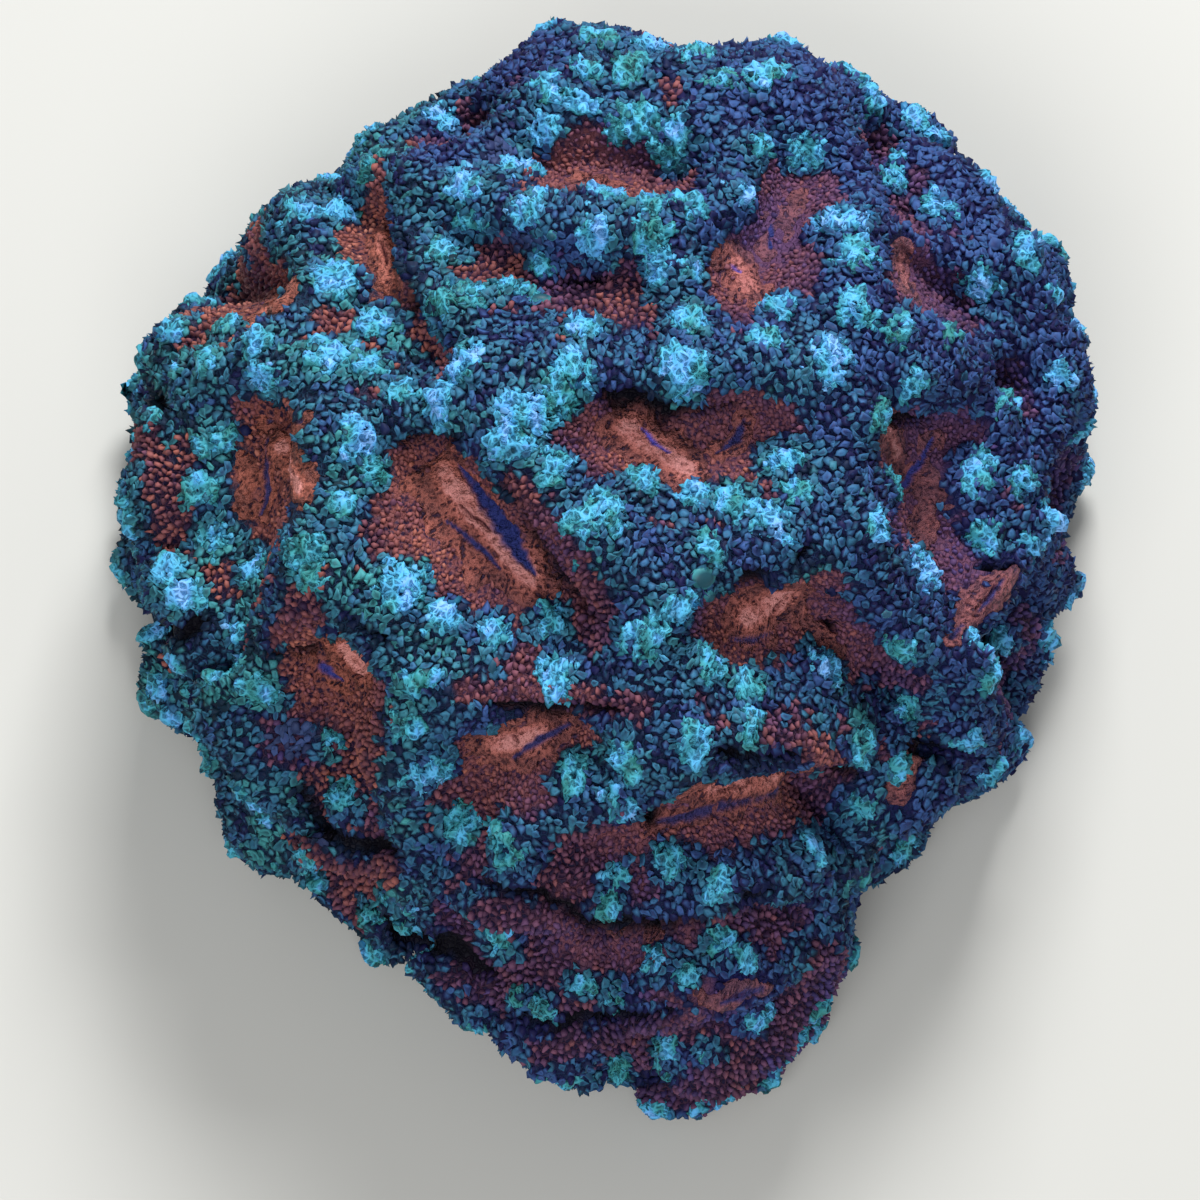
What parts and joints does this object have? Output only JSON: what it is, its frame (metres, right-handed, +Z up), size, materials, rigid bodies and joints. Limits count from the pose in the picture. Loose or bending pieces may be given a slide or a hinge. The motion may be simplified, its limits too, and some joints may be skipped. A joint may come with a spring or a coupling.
{
  "type": "acan coral colony",
  "caption": "Boulder-shaped acan coral colony with rust and salmon polyps in deep valleys, broad dark ridges and bright cyan tufts, cut off flat at its base.",
  "frame": {"origin": "the middle of the flat cut under the colony", "axes": "+X across the colony to its right, +Y from the narrow front to the broad back, +Z up, away from the flat cut"},
  "size_m": [0.1, 0.1123, 0.0578],
  "materials": {
    "coral_tissue": "moist, fleshy living tissue over a stony skeleton"
  },
  "bodies": {
    "root": {"coral_colony": "coral_tissue"}
  },
  "joints": []
}
